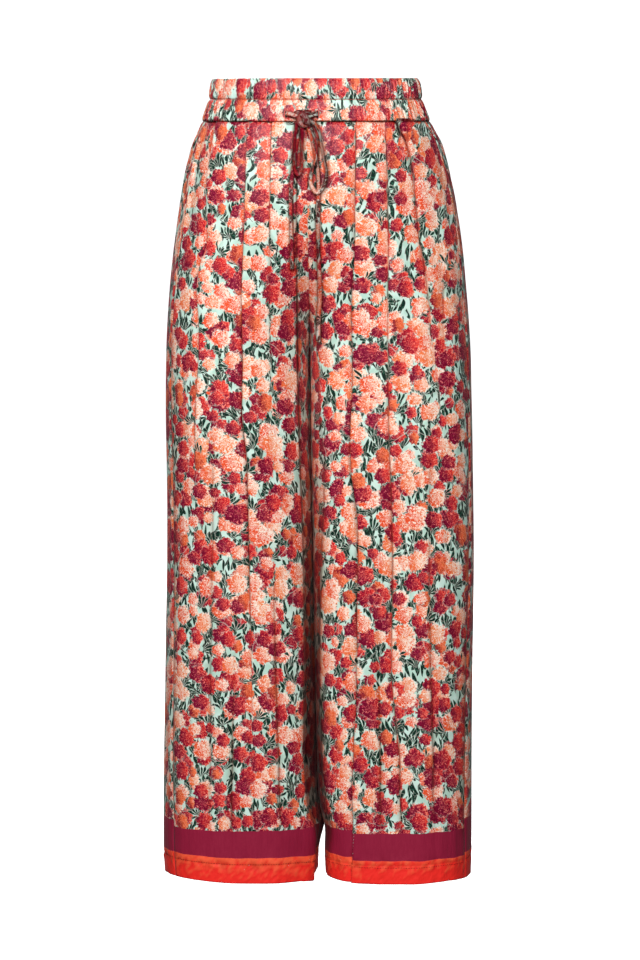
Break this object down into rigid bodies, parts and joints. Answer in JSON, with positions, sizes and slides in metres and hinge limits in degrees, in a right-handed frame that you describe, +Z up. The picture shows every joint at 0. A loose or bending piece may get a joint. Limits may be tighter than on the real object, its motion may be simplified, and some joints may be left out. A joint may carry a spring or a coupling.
{
  "type": "capri pants",
  "caption": "Wide-leg cropped pull-on trousers with an elasticated waistband, pleated fronts, drawstring bow and banded hems.",
  "frame": {"origin": "middle of the waist, halfway up the waistband, where a wearer holds the garment", "axes": "+Z up out of the waist, -Y towards the front, +X to the right of someone looking at the front"},
  "size_m": [0.3567, 0.2164, 0.9113],
  "materials": {
    "printed_satin": "satin printed with flower heads on pale mint, soft sheen",
    "waistband_satin": "the same satin gathered over two rows of elastic",
    "drawstring_satin": "narrow folded strip of the same satin"
  },
  "bodies": {
    "root": {"front_left": "printed_satin", "front_right": "printed_satin", "back_left": "printed_satin", "back_right": "printed_satin", "waistband_front": "waistband_satin", "waistband_back": "waistband_satin", "drawstring_knot": "drawstring_satin", "drawstring_lead_left": "drawstring_satin", "drawstring_lead_right": "drawstring_satin", "drawstring_loop_left": "drawstring_satin", "drawstring_loop_right": "drawstring_satin", "drawstring_tail_left": "drawstring_satin", "drawstring_tail_right": "drawstring_satin"}
  },
  "joints": []
}
